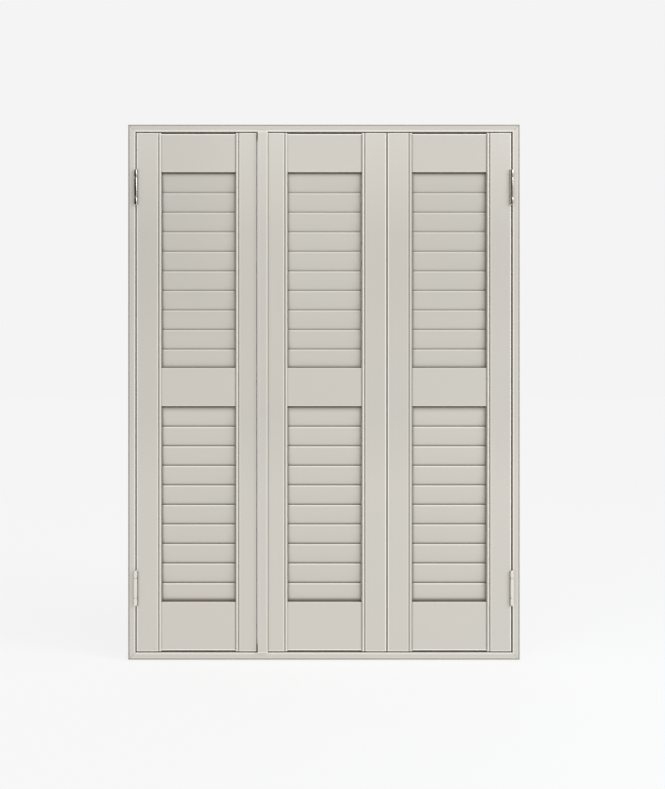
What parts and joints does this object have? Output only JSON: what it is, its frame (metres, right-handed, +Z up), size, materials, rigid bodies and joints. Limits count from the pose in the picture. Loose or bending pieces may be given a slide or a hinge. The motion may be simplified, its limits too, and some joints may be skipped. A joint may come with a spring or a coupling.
{
  "type": "window shutter",
  "caption": "Louvred window shutter in a mitred frame, with hinged and folding panels, tilting upper louvres, beaded stiles and a cover strip over the meeting joint.",
  "frame": {"origin": "bottom centre of the closed shutter's bounding box", "axes": "+X to the viewer's right, +Y away from the viewer towards the window, +Z up"},
  "size_m": [0.8, 0.0456, 1.093],
  "materials": {
    "painted_frame": "satin off-white paint",
    "painted_stile": "satin off-white paint",
    "painted_rail": "satin off-white paint",
    "painted_louvre": "satin off-white paint",
    "painted_strip": "satin off-white paint",
    "hinge_metal": "polished nickel"
  },
  "bodies": {
    "frame": {"frame_head": "painted_frame", "frame_sill": "painted_frame", "frame_left_jamb": "painted_frame", "frame_right_jamb": "painted_frame", "jamb_hinge_leaves": "hinge_metal", "jamb_hinge_pins": "hinge_metal"},
    "left_panel": {"left_hinge_stile": "painted_stile", "left_meeting_stile": "painted_stile", "left_top_rail": "painted_rail", "left_mid_rail": "painted_rail", "left_bottom_rail": "painted_rail", "left_lower_louvres": "painted_louvre", "left_hinge_leaves": "hinge_metal"},
    "middle_panel": {"middle_meeting_stile": "painted_stile", "middle_fold_stile": "painted_stile", "middle_top_rail": "painted_rail", "middle_mid_rail": "painted_rail", "middle_bottom_rail": "painted_rail", "middle_lower_louvres": "painted_louvre", "cover_strip": "painted_strip", "middle_fold_leaves": "hinge_metal"},
    "right_panel": {"right_fold_stile": "painted_stile", "right_hinge_stile": "painted_stile", "right_top_rail": "painted_rail", "right_mid_rail": "painted_rail", "right_bottom_rail": "painted_rail", "right_lower_louvres": "painted_louvre", "right_hinge_leaves": "hinge_metal", "right_fold_leaves": "hinge_metal", "fold_hinge_pins": "hinge_metal"},
    "left_upper_louvre_01": {"left_upper_louvre_01": "painted_louvre"},
    "left_upper_louvre_02": {"left_upper_louvre_02": "painted_louvre"},
    "left_upper_louvre_03": {"left_upper_louvre_03": "painted_louvre"},
    "left_upper_louvre_04": {"left_upper_louvre_04": "painted_louvre"},
    "left_upper_louvre_05": {"left_upper_louvre_05": "painted_louvre"},
    "left_upper_louvre_06": {"left_upper_louvre_06": "painted_louvre"},
    "left_upper_louvre_07": {"left_upper_louvre_07": "painted_louvre"},
    "left_upper_louvre_08": {"left_upper_louvre_08": "painted_louvre"},
    "left_upper_louvre_09": {"left_upper_louvre_09": "painted_louvre"},
    "left_upper_louvre_10": {"left_upper_louvre_10": "painted_louvre"},
    "middle_upper_louvre_01": {"middle_upper_louvre_01": "painted_louvre"},
    "middle_upper_louvre_02": {"middle_upper_louvre_02": "painted_louvre"},
    "middle_upper_louvre_03": {"middle_upper_louvre_03": "painted_louvre"},
    "middle_upper_louvre_04": {"middle_upper_louvre_04": "painted_louvre"},
    "middle_upper_louvre_05": {"middle_upper_louvre_05": "painted_louvre"},
    "middle_upper_louvre_06": {"middle_upper_louvre_06": "painted_louvre"},
    "middle_upper_louvre_07": {"middle_upper_louvre_07": "painted_louvre"},
    "middle_upper_louvre_08": {"middle_upper_louvre_08": "painted_louvre"},
    "middle_upper_louvre_09": {"middle_upper_louvre_09": "painted_louvre"},
    "middle_upper_louvre_10": {"middle_upper_louvre_10": "painted_louvre"},
    "right_upper_louvre_01": {"right_upper_louvre_01": "painted_louvre"},
    "right_upper_louvre_02": {"right_upper_louvre_02": "painted_louvre"},
    "right_upper_louvre_03": {"right_upper_louvre_03": "painted_louvre"},
    "right_upper_louvre_04": {"right_upper_louvre_04": "painted_louvre"},
    "right_upper_louvre_05": {"right_upper_louvre_05": "painted_louvre"},
    "right_upper_louvre_06": {"right_upper_louvre_06": "painted_louvre"},
    "right_upper_louvre_07": {"right_upper_louvre_07": "painted_louvre"},
    "right_upper_louvre_08": {"right_upper_louvre_08": "painted_louvre"},
    "right_upper_louvre_09": {"right_upper_louvre_09": "painted_louvre"},
    "right_upper_louvre_10": {"right_upper_louvre_10": "painted_louvre"}
  },
  "joints": [
    {"name": "left_panel_swing", "type": "hinge", "parent": "frame", "child": "left_panel", "pos_m": [-0.38275, -0.01915, 0.5555], "axis": [0, 0, -1], "range_deg": [0, 170]},
    {"name": "right_panel_swing", "type": "hinge", "parent": "frame", "child": "right_panel", "pos_m": [0.38275, -0.01915, 0.5555], "axis": [0, 0, 1], "range_deg": [0, 160]},
    {"name": "middle_panel_fold", "type": "hinge", "parent": "right_panel", "child": "middle_panel", "pos_m": [0.1285, 0.01585, 0.5555], "axis": [0, 0, 1], "range_deg": [-160, 0]},
    {"name": "left_louvre_tilt", "type": "hinge", "parent": "left_panel", "child": "left_upper_louvre_01", "pos_m": [-0.25575, -0.00165, 0.97035], "axis": [1, 0, 0], "range_deg": [0, 115]},
    {"name": "left_louvre_tilt_02", "type": "hinge", "parent": "left_panel", "child": "left_upper_louvre_02", "pos_m": [-0.25575, -0.00165, 0.9304], "axis": [1, 0, 0], "range_deg": [0, 115]},
    {"name": "left_louvre_tilt_03", "type": "hinge", "parent": "left_panel", "child": "left_upper_louvre_03", "pos_m": [-0.25575, -0.00165, 0.89045], "axis": [1, 0, 0], "range_deg": [0, 115]},
    {"name": "left_louvre_tilt_04", "type": "hinge", "parent": "left_panel", "child": "left_upper_louvre_04", "pos_m": [-0.25575, -0.00165, 0.8505], "axis": [1, 0, 0], "range_deg": [0, 115]},
    {"name": "left_louvre_tilt_05", "type": "hinge", "parent": "left_panel", "child": "left_upper_louvre_05", "pos_m": [-0.25575, -0.00165, 0.81055], "axis": [1, 0, 0], "range_deg": [0, 115]},
    {"name": "left_louvre_tilt_06", "type": "hinge", "parent": "left_panel", "child": "left_upper_louvre_06", "pos_m": [-0.25575, -0.00165, 0.7706], "axis": [1, 0, 0], "range_deg": [0, 115]},
    {"name": "left_louvre_tilt_07", "type": "hinge", "parent": "left_panel", "child": "left_upper_louvre_07", "pos_m": [-0.25575, -0.00165, 0.73065], "axis": [1, 0, 0], "range_deg": [0, 115]},
    {"name": "left_louvre_tilt_08", "type": "hinge", "parent": "left_panel", "child": "left_upper_louvre_08", "pos_m": [-0.25575, -0.00165, 0.6907], "axis": [1, 0, 0], "range_deg": [0, 115]},
    {"name": "left_louvre_tilt_09", "type": "hinge", "parent": "left_panel", "child": "left_upper_louvre_09", "pos_m": [-0.25575, -0.00165, 0.65075], "axis": [1, 0, 0], "range_deg": [0, 115]},
    {"name": "left_louvre_tilt_10", "type": "hinge", "parent": "left_panel", "child": "left_upper_louvre_10", "pos_m": [-0.25575, -0.00165, 0.6108], "axis": [1, 0, 0], "range_deg": [0, 115]},
    {"name": "middle_louvre_tilt", "type": "hinge", "parent": "middle_panel", "child": "middle_upper_louvre_01", "pos_m": [0.00125, -0.00165, 0.97035], "axis": [1, 0, 0], "range_deg": [0, 115]},
    {"name": "middle_louvre_tilt_02", "type": "hinge", "parent": "middle_panel", "child": "middle_upper_louvre_02", "pos_m": [0.00125, -0.00165, 0.9304], "axis": [1, 0, 0], "range_deg": [0, 115]},
    {"name": "middle_louvre_tilt_03", "type": "hinge", "parent": "middle_panel", "child": "middle_upper_louvre_03", "pos_m": [0.00125, -0.00165, 0.89045], "axis": [1, 0, 0], "range_deg": [0, 115]},
    {"name": "middle_louvre_tilt_04", "type": "hinge", "parent": "middle_panel", "child": "middle_upper_louvre_04", "pos_m": [0.00125, -0.00165, 0.8505], "axis": [1, 0, 0], "range_deg": [0, 115]},
    {"name": "middle_louvre_tilt_05", "type": "hinge", "parent": "middle_panel", "child": "middle_upper_louvre_05", "pos_m": [0.00125, -0.00165, 0.81055], "axis": [1, 0, 0], "range_deg": [0, 115]},
    {"name": "middle_louvre_tilt_06", "type": "hinge", "parent": "middle_panel", "child": "middle_upper_louvre_06", "pos_m": [0.00125, -0.00165, 0.7706], "axis": [1, 0, 0], "range_deg": [0, 115]},
    {"name": "middle_louvre_tilt_07", "type": "hinge", "parent": "middle_panel", "child": "middle_upper_louvre_07", "pos_m": [0.00125, -0.00165, 0.73065], "axis": [1, 0, 0], "range_deg": [0, 115]},
    {"name": "middle_louvre_tilt_08", "type": "hinge", "parent": "middle_panel", "child": "middle_upper_louvre_08", "pos_m": [0.00125, -0.00165, 0.6907], "axis": [1, 0, 0], "range_deg": [0, 115]},
    {"name": "middle_louvre_tilt_09", "type": "hinge", "parent": "middle_panel", "child": "middle_upper_louvre_09", "pos_m": [0.00125, -0.00165, 0.65075], "axis": [1, 0, 0], "range_deg": [0, 115]},
    {"name": "middle_louvre_tilt_10", "type": "hinge", "parent": "middle_panel", "child": "middle_upper_louvre_10", "pos_m": [0.00125, -0.00165, 0.6108], "axis": [1, 0, 0], "range_deg": [0, 115]},
    {"name": "right_louvre_tilt", "type": "hinge", "parent": "right_panel", "child": "right_upper_louvre_01", "pos_m": [0.25575, -0.00165, 0.97035], "axis": [1, 0, 0], "range_deg": [0, 115]},
    {"name": "right_louvre_tilt_02", "type": "hinge", "parent": "right_panel", "child": "right_upper_louvre_02", "pos_m": [0.25575, -0.00165, 0.9304], "axis": [1, 0, 0], "range_deg": [0, 115]},
    {"name": "right_louvre_tilt_03", "type": "hinge", "parent": "right_panel", "child": "right_upper_louvre_03", "pos_m": [0.25575, -0.00165, 0.89045], "axis": [1, 0, 0], "range_deg": [0, 115]},
    {"name": "right_louvre_tilt_04", "type": "hinge", "parent": "right_panel", "child": "right_upper_louvre_04", "pos_m": [0.25575, -0.00165, 0.8505], "axis": [1, 0, 0], "range_deg": [0, 115]},
    {"name": "right_louvre_tilt_05", "type": "hinge", "parent": "right_panel", "child": "right_upper_louvre_05", "pos_m": [0.25575, -0.00165, 0.81055], "axis": [1, 0, 0], "range_deg": [0, 115]},
    {"name": "right_louvre_tilt_06", "type": "hinge", "parent": "right_panel", "child": "right_upper_louvre_06", "pos_m": [0.25575, -0.00165, 0.7706], "axis": [1, 0, 0], "range_deg": [0, 115]},
    {"name": "right_louvre_tilt_07", "type": "hinge", "parent": "right_panel", "child": "right_upper_louvre_07", "pos_m": [0.25575, -0.00165, 0.73065], "axis": [1, 0, 0], "range_deg": [0, 115]},
    {"name": "right_louvre_tilt_08", "type": "hinge", "parent": "right_panel", "child": "right_upper_louvre_08", "pos_m": [0.25575, -0.00165, 0.6907], "axis": [1, 0, 0], "range_deg": [0, 115]},
    {"name": "right_louvre_tilt_09", "type": "hinge", "parent": "right_panel", "child": "right_upper_louvre_09", "pos_m": [0.25575, -0.00165, 0.65075], "axis": [1, 0, 0], "range_deg": [0, 115]},
    {"name": "right_louvre_tilt_10", "type": "hinge", "parent": "right_panel", "child": "right_upper_louvre_10", "pos_m": [0.25575, -0.00165, 0.6108], "axis": [1, 0, 0], "range_deg": [0, 115]}
  ],
  "couplings": [
    {"joint": "middle_panel_fold", "follows": "right_panel_swing", "ratio": -1},
    {"joint": "left_louvre_tilt_02", "follows": "left_louvre_tilt", "ratio": 1},
    {"joint": "left_louvre_tilt_03", "follows": "left_louvre_tilt", "ratio": 1},
    {"joint": "left_louvre_tilt_04", "follows": "left_louvre_tilt", "ratio": 1},
    {"joint": "left_louvre_tilt_05", "follows": "left_louvre_tilt", "ratio": 1},
    {"joint": "left_louvre_tilt_06", "follows": "left_louvre_tilt", "ratio": 1},
    {"joint": "left_louvre_tilt_07", "follows": "left_louvre_tilt", "ratio": 1},
    {"joint": "left_louvre_tilt_08", "follows": "left_louvre_tilt", "ratio": 1},
    {"joint": "left_louvre_tilt_09", "follows": "left_louvre_tilt", "ratio": 1},
    {"joint": "left_louvre_tilt_10", "follows": "left_louvre_tilt", "ratio": 1},
    {"joint": "middle_louvre_tilt_02", "follows": "middle_louvre_tilt", "ratio": 1},
    {"joint": "middle_louvre_tilt_03", "follows": "middle_louvre_tilt", "ratio": 1},
    {"joint": "middle_louvre_tilt_04", "follows": "middle_louvre_tilt", "ratio": 1},
    {"joint": "middle_louvre_tilt_05", "follows": "middle_louvre_tilt", "ratio": 1},
    {"joint": "middle_louvre_tilt_06", "follows": "middle_louvre_tilt", "ratio": 1},
    {"joint": "middle_louvre_tilt_07", "follows": "middle_louvre_tilt", "ratio": 1},
    {"joint": "middle_louvre_tilt_08", "follows": "middle_louvre_tilt", "ratio": 1},
    {"joint": "middle_louvre_tilt_09", "follows": "middle_louvre_tilt", "ratio": 1},
    {"joint": "middle_louvre_tilt_10", "follows": "middle_louvre_tilt", "ratio": 1},
    {"joint": "right_louvre_tilt_02", "follows": "right_louvre_tilt", "ratio": 1},
    {"joint": "right_louvre_tilt_03", "follows": "right_louvre_tilt", "ratio": 1},
    {"joint": "right_louvre_tilt_04", "follows": "right_louvre_tilt", "ratio": 1},
    {"joint": "right_louvre_tilt_05", "follows": "right_louvre_tilt", "ratio": 1},
    {"joint": "right_louvre_tilt_06", "follows": "right_louvre_tilt", "ratio": 1},
    {"joint": "right_louvre_tilt_07", "follows": "right_louvre_tilt", "ratio": 1},
    {"joint": "right_louvre_tilt_08", "follows": "right_louvre_tilt", "ratio": 1},
    {"joint": "right_louvre_tilt_09", "follows": "right_louvre_tilt", "ratio": 1},
    {"joint": "right_louvre_tilt_10", "follows": "right_louvre_tilt", "ratio": 1}
  ]
}
